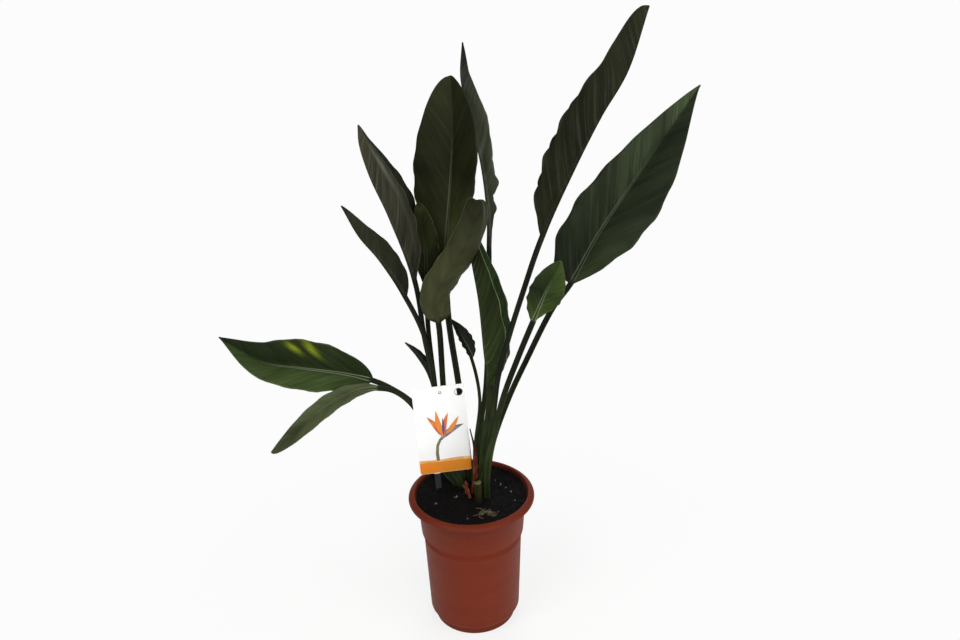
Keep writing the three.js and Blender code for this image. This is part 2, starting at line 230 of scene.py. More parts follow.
def makeVeins():
    inputs = {"Run": "Vector", "Slant": 1.5, "Fine": 550.0, "Broad": 110.0, "Seed": 0.0}
    outputs = {"Streaks": "Float", "Height": "Float", "Patches": "Float"}
    net, given, out = newTree("Shader", "veins", inputs, outputs)
    x, y = net.split(given["Run"])[0:2]
    lean = net.minus(y, net.times(x, given["Slant"]))

    def veined(across, along, detail):
        return net.noise(net.join(net.times(lean, across), net.times(x, along), given["Seed"]), 1, detail)

    fine, broad = veined(given["Fine"], 22, 2), veined(given["Broad"], 14, 3)
    net.feed(out["Streaks"], net.timesPlus(fine, 0.45, net.times(broad, 0.55)))
    net.feed(out["Height"], net.timesPlus(fine, 0.35, broad))
    net.feed(out["Patches"], veined(26, 18, 2))
    return net.tree


dust = makeDust()
veins = makeVeins()
print("shared effects built")

# Leaf finish: dark satin green, streaked along its side veins, with a double midrib line and a thin margin,
# painted highlight bands, painted shade in the midrib groove and down the stalks, and painted light and shade
# on each blade half.

leafFinish = {
    "veinLight": "#7c8a7c",
    "rib": "#8b937c", "margin": "#85876a", "blotch": "#8d9a1e", "paintedHighlight": "#7e847a", "dust": "#6f7062",
    "stalkDarkAndShade": "#0f110b",
    "stalk": "#222c14", "stalkLight": "#3c4724", "roughness": 0.46, "gloss": 0.07,
    "paintedShadeHeights": (0.27, 0.38), "shadedHeights": (0.178, 0.235), "ribWidths": (0.0026, 0.0004),
}


def makeLeafMaterial(look):
    material, net = newMaterial("leafBlade")
    ink = inks(look)
    shareX, bladeU = net.split(net.uv("leafUv"))[0:2]
    sideways, arc = net.split(net.uv("leafRun"))[0:2]
    out = net.maths("ABSOLUTE", net.timesPlus(shareX, 2, -1))
    distance = net.maths("ABSOLUTE", sideways)
    # This colour holds the leaf's tone together with its painted light and shade.
    toneWithPaintedShade = net.attribute("toneWithPaintedShade", "Vector")
    ribLight, streak, edgeLight = net.split(net.attribute("traits", "Vector"))
    seed, blotch, paintedHighlight = (net.attribute(name) for name in ("seed", "blotch", "paintedHighlight"))
    lines = net.group(veins, Run=net.join(distance, arc, 0), Seed=seed)
    streaks, patches = lines["Streaks"], lines["Patches"]
    worn = net.group(dust, Vector=net.place(), Scale=38, Amount=0.35)

    base = net.scaled(toneWithPaintedShade, net.remap(patches, 0.34, 0.68, 1.3, 0.72))
    base = net.scaled(base, net.minus(1, net.times(net.remap(streaks, 0.36, 0.5, 0.42, 0), streak)))
    lifted = net.blend(net.scaled(toneWithPaintedShade, 2.3), ink["veinLight"], 0.075)
    nearRib = net.remap(out, 0.95, 0.15, 0.25, 1)
    base = net.blend(base, lifted, net.times(net.remap(streaks, 0.52, 0.66), streak, nearRib))
    # Painted highlight: soft pale bands where the blade catches the light.
    base = net.blend(base, ink["paintedHighlight"], net.times(paintedHighlight, net.remap(patches, 0.3, 0.6, 0.12, 0.26)))
    base = net.blend(base, ink["blotch"], net.times(blotch, net.remap(streaks, 0.3, 0.62, 0.25, 1)))

    onBlade = net.remap(bladeU, 0, 0.03)
    ribHalf = net.remap(net.maths("POWER", bladeU, 0.6), 0, 1, *look["ribWidths"])
    offLine = net.maths("ABSOLUTE", net.minus(distance, ribHalf))
    ribLine = net.times(net.remap(offLine, 0.0011, 0.0003), onBlade)
    ribFade = net.times(net.remap(bladeU, 0.72, 0.3, 0, 0.42), ribLight)
    # Painted shade: the blade is darkened between the two midrib lines, in the groove.
    ribGrooveShade = net.times(net.remap(net.minus(ribHalf, distance), 0.0002, 0.0009, 0, 0.45), onBlade)
    base = net.blend(base, net.scaled(toneWithPaintedShade, 0.6), ribGrooveShade)
    base = net.blend(base, ink["rib"], net.times(ribLine, ribFade))
    base = net.blend(base, ink["margin"], net.times(net.remap(out, 0.955, 0.995), edgeLight, onBlade))

    grooves = net.noise(net.join(net.times(distance, 1500), net.times(arc, 9), seed), 1, 2)
    height = net.split(net.place())[2]
    stalk = net.blend(ink["stalk"], ink["stalkLight"], net.remap(grooves, 0.42, 0.7))
    # Painted shade: the stalks are darkened lower down in the clump and more near the soil; the dark patches
    # are their own colour.
    stalk = net.blend(stalk, ink["stalkDarkAndShade"], net.remap(height, *look["paintedShadeHeights"], 0, 0.85))
    stalk = net.blend(stalk, ink["stalkDarkAndShade"], net.remap(patches, 0.45, 0.7, 0, 0.5))
    stalk = net.scaled(stalk, net.remap(height, *look["shadedHeights"], 0.45, 1))
    base = net.blend(stalk, base, onBlade)
    base = net.blend(base, ink["dust"], net.times(worn["Mask"], 0.12))

    rough = net.remap(streaks, 0.3, 0.7, look["roughness"] - 0.05, look["roughness"] + 0.1)
    stalkHeight = net.times(grooves, net.minus(1, onBlade))
    relief = net.maths("ADD", net.times(lines["Height"], onBlade), stalkHeight)
    net.surface(base, net.timesPlus(worn["Clouds"], 0.12, rough), look["gloss"], net.bump(relief, 0.0008, 0.5))
    return material


# Fibrous skins: dry scales, papery and reddish brown, and the stub, olive and ridged with a pale wet cut.

huskFinish = {
    "low": "#35200f", "high": "#72301a", "patch": "#9a5339", "bands": [("#120b09", 0.235, 0.262, 0, 0.9)],
    "fibre": (1400, 45, 0, 3), "contrast": (0.35, 0.65), "relief": (0.0005, 0.8), "roughness": 0.72,
    "gloss": 0.12,
}
stubFinish = {
    "low": "#1f1d08", "high": "#343215", "bands": [("#1a180d", 0.202, 0.19), ("#565a38", 0.2155, 0.2172)],
    "fibre": (1000, 30, 3, 2), "contrast": (0.4, 0.65), "relief": (0.0006, 0.7), "roughness": 0.55,
    "gloss": 0.12,
}


def makeFibreMaterial(name, look):
    material, net = newMaterial(name)
    ink = inks(look)
    x, y = net.split(net.uv("leafRun"))[0:2]
    across, along, part, detail = look["fibre"]
    fibres = net.noise(net.join(net.times(x, across), net.times(y, along), part), 1, detail)
    base = net.blend(ink["low"], ink["high"], net.remap(fibres, *look["contrast"]))
    if "patch" in look:
        base = net.blend(base, ink["patch"], net.remap(net.noise(net.place(), 140), 0.52, 0.75, 0, 0.8))
    height = net.split(net.place())[2]
    for colour, *limits in look["bands"]:
        base = net.blend(base, linear(colour), net.remap(height, *limits))
    net.surface(base, look["roughness"], look["gloss"], net.bump(fibres, *look["relief"]))
    return material


leafBlade = makeLeafMaterial(leafFinish)
dryHusk = makeFibreMaterial("dryHusk", huskFinish)
stubSkin = makeFibreMaterial("stubSkin", stubFinish)
print("leaf, husk and stub finishes built")

# Leaves: the same spines, folds and waves as the frame's solids, made fine.

growth = {
    "floor": 174, "thickness": 0.9, "marginThickness": 0.55, "tipHalf": 0.9,
    "bladeRows": 190, "stalkRows": 46, "halfColumns": 15, "spineSteps": 40,
    "veinSlant": 1.3, "slantLength": 1.64, "usualSize": (215, 42),  # length and half width of a usual blade
}

# A pair holds for the left and right half of the blade. Shades are painted light and shade for the base, the
# middle and the tip: each half is lighter where the lamps light it and darker where lamps or other leaves leave
# it in shade. The upper and under colours also hold some painted light.
leafDefaults = {
    "tipFace": None, "broadest": 0.42, "fullness": 0.8, "tipShare": 1, "halfWidth": 10, "fold": (30, 30),
    "bow": 18, "stalkHalf": (4, 3.1), "stalkDepth": 4.4, "stalkFold": 25, "wave": 3, "waves": 6,
    "fineWave": 0.22, "keelFade": 1.8, "upper": "#1a2014", "under": None, "ribLight": 0.5, "streak": 0.4,
    "edgeLight": 0.06, "seed": 0.3, "shade": (1, 1, 1), "paintedShadeEdge": 5, "lobes": (), "blotches": (),
    "paintedHighlights": (), "material": leafBlade,
}

leaves = {
    "leaf_tall_right": {
        "stalk": [(10, 5), (23.5, 2.3, 262), (32, -1.8, 325), (38.2, -7.4, 374), (53, -16, 436),
                  (70, -20, 494)],
        "rib": [(94, -24, 568), (131, -27, 650), (160, -26, 706), (189, -20, 753), (214, 0, 820)],
        "face": (-0.9, 0.24, 0.36), "fold": (70, 74), "halfWidth": 37, "broadest": 0.43, "fullness": 0.72,
        "tipShare": 0.6, "wave": 4.5, "fineWave": 0.1, "upper": "#141608", "under": "#151708",
        "ribLight": 0.2, "streak": 0.8, "shade": (1.2, 0.9, 1.5), "seed": 0.55,
    },
    "leaf_broad_right": {
        "stalk": [(20, 9), (24, 8.5, 230), (31.6, 8.5, 270), (54, 11, 334), (76, 14, 383), (112, 18, 457)],
        "rib": [(133, 20, 486), (166, 26, 546), (222, 42, 626), (294, 80, 716)], "face": (-0.12, -0.87, 0.47),
        "tipFace": (0, -0.9, 0.42), "fold": (28, 20), "halfWidth": (48, 52), "broadest": (0.27, 0.4),
        "fullness": (0.8, 1.25), "tipShare": (1, 0.92), "wave": 3.5, "upper": "#212818", "streak": (0.8, 0.4),
        "shade": ((0.28, 1.2, 2.1), (1.6, 0.66, 0.75)), "paintedShadeEdge": 2, "seed": 0.35,
    },
    "leaf_small_right": {
        "stalk": [(21, -3), (23, -6, 240), (30.5, -9, 279), (44.5, -15, 344), (65, -22, 407)],
        "rib": [(83, -30, 458), (98, -42, 502), (114, -62, 548)], "face": (-0.05, -0.9, 0.42),
        "fold": (24, 20), "halfWidth": (21, 23), "broadest": (0.48, 0.55), "fullness": (0.8, 1),
        "tipShare": (0.7, 0.85), "wave": 2, "upper": "#263213", "streak": 0.7, "ribLight": 0.9,
        "shade": ((1.6, 0.5, 1.2), (2.2, 1.5, 2)), "seed": 0,
    },
    "leaf_centre_folded": {
        "stalk": [(14.3, 17.4), (22.2, 16, 267), (29, 16, 312)],
        "rib": [(31, 17, 350), (26, 19, 400), (19.5, 23, 467), (11, 31, 520), (6, 40, 572)],
        "face": (0.97, -0.16, 0.2), "fold": (54, 54), "halfWidth": 38, "broadest": 0.36,
        "stalkHalf": (4, 6.2), "stalkDepth": 5.5, "wave": 2, "upper": "#162609", "under": "#1c250d",
        "streak": 1, "edgeLight": 0.5, "shade": ((1.7, 1, 0.55), (1.7, 1, 0.85)), "seed": 0.1,
    },
    "leaf_tall_centre": {
        "stalk": [(-1, 37), (-6.5, 38.5, 270), (-13, 44.5, 339), (-23, 56, 433)],
        "rib": [(-23, 74, 500), (-12, 86, 612), (-7, 96, 673), (-8, 110, 731)], "face": (-0.5, -0.78, 0.36),
        "fold": (22, 22), "halfWidth": (49, 53), "broadest": (0.52, 0.56), "fullness": 0.5,
        "tipShare": (1, 1.4), "stalkHalf": (4, 3.7), "wave": 2.2, "upper": "#1c1f0c", "ribLight": 0.6,
        "streak": 0.3, "shade": ((2.1, 0.66, 1.35), (4.6, 0.66, 0.75)), "paintedShadeEdge": 1, "seed": 0.45,
    },
    "leaf_front_pale": {
        "stalk": [(-12, 37), (-29, 47, 233), (-33, 48, 333)],
        "rib": [(-35, 42, 430), (-40, 36, 461), (-27, 28, 492), (-8, 14, 524), (5, 1, 554), (14, -10, 580),
                (19, -22, 612)],
        "face": (-0.05, 1, 0.2), "tipFace": (0.1, 1, 0.2), "fold": (32, 30), "halfWidth": (26, 22),
        "broadest": 0.32, "fullness": (0.32, 0.26), "tipShare": 0.8, "bow": -56,
        "wave": 1.2, "upper": "#262a16", "under": "#3b3d25", "ribLight": 0, "streak": 0.1, "edgeLight": 0.7,
        "keelFade": 8, "paintedHighlights": [(-0.72, -0.72, 0.1, 0.9, 0.13, 0.9)],
        "shade": ((1, 0.88, 0.25), (1, 0.92, 0.25)), "seed": 0.8,
    },
    "leaf_left_folded": {
        "stalk": [(-17, 48), (-44, 57, 244), (-43, 58, 328), (-53, 58, 397)],
        "rib": [(-62, 58, 482), (-90, 66, 565), (-113, 76, 618), (-124, 88, 655), (-124.5, 94, 677)],
        "face": (0.9, -0.07, 0.44), "fold": (61, 61), "halfWidth": (41, 38), "broadest": 0.5,
        "stalkHalf": (4, 2.7), "wave": 2.2, "upper": "#191c10", "under": "#2b2a1f", "streak": 1,
        "shade": (0.92, 1.08, 1.5), "seed": 0.6,
        "paintedHighlights": [(-0.62, -0.8, 0.09, 0.73, 0.14, 1.7), (-0.62, -0.8, 0.1, 0.42, 0.25, 0.25)],
    },
    "leaf_left_narrow": {
        "stalk": [(-26, 42), (-45, 47, 250), (-42.5, 47, 334), (-52.5, 46, 408)],
        "rib": [(-74.5, 42, 468), (-103, 34, 521), (-125.5, 22, 557), (-142, 8, 600)],
        "face": (0.82, 0.24, 0.52), "fold": (72, 74), "halfWidth": 21.5, "broadest": 0.4,
        "stalkHalf": (4, 2.7), "wave": 0.8, "upper": "#1e2210", "under": "#1f2115",
        "shade": (0.55, 0.88, 1.3), "seed": 0.5,
    },
    "leaf_dark_narrow": {
        "stalk": [(-6, 49), (-40.5, 67, 238), (-45, 70, 322), (-50, 69.5, 406)],
        "rib": [(-49.5, 66, 471.5), (-48, 64, 526.5), (-54, 67, 583.5)], "face": (0.1, -0.9, 0.41),
        "fold": (12, 12), "halfWidth": (14, 17), "broadest": 0.5, "fullness": 0.55, "stalkHalf": (4, 2.5),
        "wave": 1.5, "upper": "#1f240a", "ribLight": 0.2, "edgeLight": 0.45, "shade": (0.6, 0.85, 0.95),
        "seed": 0.1,
    },
    "leaf_top_narrow": {
        "stalk": [(11, 28), (15, 33, 256), (26, 44, 335), (30, 51, 400), (33, 56, 452)],
        "rib": [(35, 62, 517), (35, 68, 563), (28, 80, 625), (14, 96, 684), (5, 108, 728), (8, 124, 768)],
        "face": (0.99, 0.05, 0.12), "fold": (42, 56), "halfWidth": (25, 22), "broadest": 0.6,
        "fullness": (1.25, 0.9), "waves": 5, "stalkHalf": (4, 2.8), "upper": "#22241a", "under": "#32352a",
        "streak": 0.6, "lobes": [(0.33, 0.035, 9.5), (0.205, 0.03, 5), (0.262, 0.014, -5), (0.43, 0.05, -4)],
        "shade": ((0, 2.6, 0), (0.6, 1.4, 0.2)), "seed": 0.5,
    },
    "leaf_small_curled": {
        "stalk": [(3, 22), (8.3, 25.5, 258), (15.8, 33, 320)],
        "rib": [(6.5, 43.5, 375), (-6, 58.5, 399), (-19, 72, 419)], "face": (0.5, -0.6, 0.6),
        "fold": (35, 35), "halfWidth": 12.5, "stalkHalf": (2.2, 1.7), "stalkDepth": 2.4, "wave": 1.5,
        "upper": "#14180c", "seed": 0.1,
    },
    "leaf_young_left": {
        "stalk": [(-28, 56), (-44, 77, 234), (-45, 82, 295)],
        "rib": [(-51, 84, 329), (-67, 88, 357), (-84, 94, 377)], "face": (0.75, -0.2, 0.6), "fold": (60, 60),
        "halfWidth": 9, "stalkHalf": (3, 2.2), "stalkDepth": 3, "wave": 1, "upper": "#1a2114",
    },
    "leaf_low_left": {
        "stalk": [(-13, 24), (-25.4, 33, 210), (-44, 35.6, 257), (-74, 41, 311), (-104, 45, 334)],
        "rib": [(-127, 48, 344.5), (-168, 52, 354), (-224, 57, 361.5), (-274, 65, 368), (-333, 85, 397.5)],
        "face": (0, -0.83, 0.56), "fold": (38, 36), "halfWidth": (39, 44), "broadest": (0.38, 0.42),
        "fullness": (1, 0.8), "tipShare": (1, 1.25), "wave": 2, "upper": "#283319", "ribLight": 1.5,
        "streak": 0.5, "edgeLight": 0.3, "shade": ((1.4, 2.2, 0.9), (0.68, 0.62, 0.4)), "paintedShadeEdge": 2,
        "seed": 0, "blotches": [(0.485, 0.72, 11, 3.2), (0.38, 0.74, 13, 4)],
    },
    "leaf_low_drooping": {
        "stalk": [(-22, 30), (-35, 32, 207), (-52, 28.5, 265), (-76, 29, 318), (-98, 30.5, 337)],
        "rib": [(-117, 27, 343.5), (-140, 16, 347), (-176, -10, 343), (-250, -50, 297)],
        "face": (-0.1, -0.85, 0.5), "fold": (42, 42), "halfWidth": (20, 15), "broadest": (0.6, 0.45),
        "fullness": (0.6, 0.8), "tipShare": (0.7, 1), "wave": 1.5, "upper": "#424930", "ribLight": 0.7,
        "streak": 0.25, "shade": (1, 1.2, 0.75), "seed": 0.2,
    },
}

husk = {"fold": (40, 30), "bow": 40, "stalkDepth": 1.2, "wave": 0.3, "fineWave": 0.8, "material": dryHusk}
remnants = {
    "cut_stub": {
        "stalk": [(9, -7), (9, -7, 200), (8, -7, 217)], "rib": [], "face": (-0.3, 0.95, 0),
        "stalkHalf": (6.2, 4.2), "stalkDepth": 7, "material": stubSkin,
    },
    "dry_sheath": {
        **husk, "stalk": [(2, 13)], "rib": [(3, 13, 196), (5, 14, 227), (5, 16, 258), (1, 18, 283)],
        "face": (0.5, 0.85, 0), "fold": (44, 40), "bow": 50, "broadest": 0.3, "fullness": 1.5, "halfWidth": 5,
        "stalkHalf": (3, 2.6), "wave": 0.6,
    },
    "husk_left": {
        **husk, "stalk": [(-3, 0)], "rib": [(-4, 0.4, 195), (-7, 2, 199), (-12, 4, 204)],
        "face": (0.7, 0.7, 0.3), "halfWidth": 3.4, "stalkHalf": (2.8, 2.6),
    },
    "husk_back": {
        **husk, "stalk": [(-7, 11)], "rib": [(-7.2, 11, 195), (-7.5, 11, 200), (-7, 12, 206)],
        "face": (0.6, 0.8, 0), "halfWidth": 3.2, "stalkHalf": (2.6, 2.4),
    },
}


def smooth(value):
    t = np.clip(value, 0.0, 1.0)
    return t * t * (3 - 2 * t)


def mix(a, b, t):
    return a + (b - a) * t


def halves(value):
    return np.array(value if isinstance(value, tuple) else (value, value), float)


# A centripetal curve through the leaf's points, read by its length.
class Spine:
    def __init__(self, leaf):
        x, y = leaf["stalk"][0]
        foot = [(x, y, growth["floor"] + step) for step in (0, 9, 17)]  # upright inside the soil
        points = np.array(foot + leaf["stalk"][1:] + leaf["rib"], float)
        around = np.vstack([2 * points[0] - points[1], points, 2 * points[-1] - points[-2]])
        parts = []
        for i in range(len(points) - 1):
            p0, p1, p2, p3 = around[i:i + 4]
            d0, d1, d2 = (np.linalg.norm(b - a) ** 0.5 for a, b in ((p0, p1), (p1, p2), (p2, p3)))
            t1 = ((p1 - p0) / d0 - (p2 - p0) / (d0 + d1) + (p2 - p1) / d1) * d1
            t2 = ((p2 - p1) / d1 - (p3 - p1) / (d1 + d2) + (p3 - p2) / d2) * d1
            parts.append((p1, t1, -3 * p1 + 3 * p2 - 2 * t1 - t2, 2 * p1 - 2 * p2 + t1 + t2))
        self.parts = np.array(parts)
        self.steps = np.linspace(0, 1, growth["spineSteps"] * len(parts) + 1)
        line = self.at(self.steps)[0]
        self.lengths = np.concatenate([[0], np.cumsum(np.linalg.norm(np.diff(line, axis=0), axis=1))])
        first = growth["spineSteps"] * (len(leaf["stalk"]) + 2)
        self.bladeStart = self.lengths[first] / self.lengths[-1] if leaf["rib"] else 1.0

    def at(self, t):
        spot = np.clip(np.asarray(t) * len(self.parts), 0, len(self.parts) - 1e-9)
        index = spot.astype(int)
        w = (spot - index)[:, None]
        c0, c1, c2, c3 = (self.parts[index, k] for k in range(4))
        run = c1 + w * (2 * c2 + 3 * w * c3)
        return c0 + w * (c1 + w * (c2 + w * c3)), run / np.linalg.norm(run, axis=1)[:, None]

    def byLength(self, share):
        return self.at(np.interp(share * self.lengths[-1], self.lengths, self.steps))


# Both faces of a leaf as grids of points, with what the finish needs at each.
def leafSurface(leaf):
    spine = Spine(leaf)
    along = np.linspace(-1, 0, growth["stalkRows"], endpoint=not leaf["rib"])
    if leaf["rib"]:
        t = np.linspace(0, 1, growth["bladeRows"])
        along = np.concatenate([along, t * (0.8 + 0.2 * t)])  # rows closer near the base
    along = along[:, None]
    u = np.maximum(0, along)
    onBlade = along >= 0
    at = np.where(onBlade, mix(spine.bladeStart, 1, along), spine.bladeStart * (1 + along))
    centre, tangent = spine.byLength(at[:, 0])
    face = mix(np.array(leaf["face"], float), np.array(leaf["tipFace"] or leaf["face"], float), u)
    up = face - (face * tangent).sum(axis=1)[:, None] * tangent
    up /= np.linalg.norm(up, axis=1)[:, None]
    right = np.cross(tangent, up)

    footHalf, topHalf = leaf["stalkHalf"]
    ribOnBlade = mix(topHalf, growth["tipHalf"], u ** 0.6)
    rib = np.where(onBlade, ribOnBlade, mix(topHalf, footHalf, smooth((-along - 0.55) / 0.45)))
    depth = leaf["stalkDepth"]
    depth = np.where(onBlade, 0.3 + (depth - 0.3) * (1 - u) ** leaf["keelFade"], depth)
    column = np.arange(-growth["halfColumns"], growth["halfColumns"] + 1)[None, :] / growth["halfColumns"]
    side = np.sign(column)
    onSide, keys = (column >= 0).astype(int), ("halfWidth", "wave", "broadest", "fullness", "tipShare")
    widest, wave, broadest, fullness, tipShare = (halves(leaf[key])[onSide] for key in keys)
    power = math.log(0.5) / np.log(broadest)
    fullness = fullness * np.where(u ** power > 0.5, tipShare, 1)
    shape = np.where(onBlade, np.sin(np.pi * np.minimum(u, 0.9999) ** power) ** fullness, 0)
    wide = np.hypot(rib, widest * shape)
    for middle, spread, reach in leaf["lobes"]:  # the torn margin of the left half
        wide = wide + np.where(column < 0, reach * np.exp(-((u - middle) / spread) ** 2), 0)
    grown = smooth(u / 0.1)
    fold = np.radians(mix(leaf["stalkFold"], mix(leaf["fold"][0], leaf["fold"][1], u), smooth(u / 0.14)))
    bow = np.radians(mix(math.copysign(4.0, leaf["bow"]), leaf["bow"], grown))
    ruffle = wave * (wide / widest) * (1 - u) ** 1.2

    outward = np.abs(column) ** mix(1.0, 1.35, grown)
    turn = 2 * np.pi * leaf["waves"] * u + np.where(side < 0, 0, 1.9)
    wobble = np.sin(turn) + leaf["fineWave"] * np.sin(3.3 * turn + 1.7 * side) * outward ** 3
    swell = 1 + 0.8 * (ruffle / widest) * np.sin(turn + 1.2) * grown * outward ** 3
    distance = np.maximum(wide * outward * swell, 1e-4)
    share = distance / wide
    start = fold + bow / 2
    angle = start - bow * share
    acrossOut = wide * (np.sin(start) - np.sin(angle)) / bow
    acrossUp = wide * (np.cos(angle) - np.cos(start)) / bow
    lift = ruffle * wobble * share ** 3.4 * grown
    out = acrossOut * side - np.sin(angle) * side * lift
    rise = acrossUp + np.where(side == 0, 1, np.cos(angle)) * lift
    bulge = np.sqrt(np.maximum(0, 1 - (distance / (rib * 1.02)) ** 2))
    thin = mix(growth["thickness"], growth["marginThickness"], np.clip(share, 0, 1) * grown)
    thick = thin + depth * bulge
    tilt = angle * np.clip(distance / (0.85 * rib), 0, 1)
    right, up = right[:, None], up[:, None]
    top = centre[:, None] + right * out[..., None] + up * rise[..., None]
    below = top - right * (-np.sin(tilt) * side * thick)[..., None] - up * (np.cos(tilt) * thick)[..., None]
    return {
        "top": top, "below": below, "share": side * np.minimum(share, 1), "u": u + 0 * share,
        "run": side * distance * mm, "arc": (at * spine.lengths[-1] + 0 * share) * mm,
    }


# Faces of a closed shell of two grids: the top, the one under it, the two margins, the foot and the tip.
def gridFaces(rows, columns):
    top = np.arange(rows * columns).reshape(rows, columns)
    under = top + top.size
    walls = [
        (top[:-1, :-1], top[:-1, 1:], top[1:, 1:], top[1:, :-1]),
        (under[1:, :-1], under[1:, 1:], under[:-1, 1:], under[:-1, :-1]),
        (under[:-1, 0], top[:-1, 0], top[1:, 0], under[1:, 0]),
        (top[:-1, -1], under[:-1, -1], under[1:, -1], top[1:, -1]),
        (under[0, :-1], under[0, 1:], top[0, 1:], top[0, :-1]),
        (top[-1, :-1], top[-1, 1:], under[-1, 1:], under[-1, :-1]),
    ]
    return np.concatenate([np.stack(wall, axis=-1).reshape(-1, 4) for wall in walls]).tolist()


def setUv(mesh, name, x, y):
    corners = np.empty(len(mesh.loops), dtype=np.int32)
    mesh.loops.foreach_get("vertex_index", corners)
    values = np.stack([x, y], axis=1)[corners]
    mesh.uv_layers.new(name=name).data.foreach_set("uv", values.ravel().astype(np.float32))


def setValue(mesh, name, values):
    kind, field = ("FLOAT", "value") if values.ndim == 1 else ("FLOAT_VECTOR", "vector")
    item = mesh.attributes.new(name=name, type=kind, domain="POINT")
    item.data.foreach_set(field, values.astype(np.float32).ravel())


def makeLeaf(name, given):
    leaf = {**leafDefaults, **given}
    made = leafSurface(leaf)
    rows, columns = made["share"].shape
    count = rows * columns
    points = np.concatenate([made["top"].reshape(-1, 3), made["below"].reshape(-1, 3)])
    piece = meshPiece("fine_" + name, points, faces=gridFaces(rows, columns), material=leaf["material"])
    mesh = piece.data
    share, u, run, arc = (np.tile(made[key].ravel(), 2) for key in ("share", "u", "run", "arc"))
    setUv(mesh, "leafUv", share * 0.5 + 0.5, u)
    setUv(mesh, "leafRun", run, arc)

    tones = [linear(leaf[key] or leaf["upper"])[:3] for key in ("upper", "under")]
    # Painted light and shade: each blade half is scaled lighter or darker along its length, carried in the tone
    # attribute.
    paintedShades = leaf["shade"] if isinstance(leaf["shade"][0], tuple) else (leaf["shade"],) * 2
    left, right = (np.interp(u, (0, 0.5, 1), levels) for levels in paintedShades)
    shade = mix(left, right, smooth(share * leaf["paintedShadeEdge"] + 0.5))
    setValue(mesh, "toneWithPaintedShade", np.repeat(tones, count, axis=0) * shade[:, None])
    traits = np.tile([leaf["ribLight"], 0.0, leaf["edgeLight"]], (2 * count, 1))
    traits[:, 1] = np.where(share < 0, *halves(leaf["streak"]))
    traits[count:, 0] *= 0.15
    setValue(mesh, "traits", traits)
    setValue(mesh, "seed", np.full(2 * count, leaf["seed"] * 7))

    blotch, paintedHighlight = np.zeros(2 * count), np.zeros(2 * count)
    slant, unit, (bladeLength, bladeHalf) = (growth[key] for key in ("veinSlant", "slantLength", "usualSize"))
    for spotU, spotShare, length, width in leaf["blotches"]:  # each lies along its side vein
        along = (u - spotU) * bladeLength
        away = np.abs(share - spotShare) * bladeHalf * np.sign((share - spotShare) * spotShare)
        down, off = (along * slant + away) / unit, (along - slant * away) / unit
        blotch = np.maximum(blotch, np.exp(-(down / length) ** 2 - (off / width) ** 2))
    # Painted highlights along the blade.
    for low, high, width, middle, reach, strength in leaf["paintedHighlights"]:  # soft light bands along the blade
        paintedHighlight += strength * np.exp(-((share - mix(low, high, u)) / width) ** 2 - ((u - middle) / reach) ** 2)
    setValue(mesh, "blotch", blotch)
    setValue(mesh, "paintedHighlight", paintedHighlight)
    finish(piece, name)


for name, given in {**leaves, **remnants}.items():
    makeLeaf(name, given)
print("leaves, stub and husks grown")

# Node trees that build shapes.


def shapeTree(name, inputs):
    return newTree("Geometry", name, {"Geometry": "Geometry", **inputs}, {"Geometry": "Geometry"})


def closeTree(net, geometry, material, out):
    real = net.geometry("RealizeInstances", Geometry=geometry)
    net.feed(out[0], net.geometry("SetMaterial", Geometry=real, Material=material))
    return net.tree


# Spins a profile of radius and height.
def makeTurnedTree():
    inputs = {"Sides": 160, "Count": 10, "Material": "Material"}
    net, given, out = shapeTree("turnedProfile", inputs)
    rows = net.node("FunctionNodeIntegerMath", {0: given["Sides"], 1: 1}, operation="ADD").outputs[0]
    grid = net.geometry("MeshGrid", Vertices_X=rows, Vertices_Y=given["Count"])
    index = net.geometry("InputIndex")
    step, spot = (
        net.node("FunctionNodeIntegerMath", {0: index, 1: given["Count"]}, operation=operation).outputs[0]
        for operation in ("DIVIDE_FLOOR", "MODULO"))
    inputs = {"Geometry": given["Geometry"], "Value": net.geometry("InputPosition"), "Index": spot}
    sample = net.node("GeometryNodeSampleIndex", inputs, data_type="FLOAT_VECTOR")
    radius, _, height = net.split(sample.outputs[0])
    angle = net.times(net.maths("DIVIDE", step, given["Sides"]), 2 * math.pi)
    x, y = (net.times(radius, net.maths(operation, angle)) for operation in ("COSINE", "SINE"))
    moved = net.geometry("SetPosition", Geometry=grid, Position=net.join(x, y, height))
    merged = net.geometry("MergeByDistance", Geometry=moved, Distance=1e-6)
    return closeTree(net, net.geometry("SetShadeSmooth", Geometry=merged), given["Material"], out)


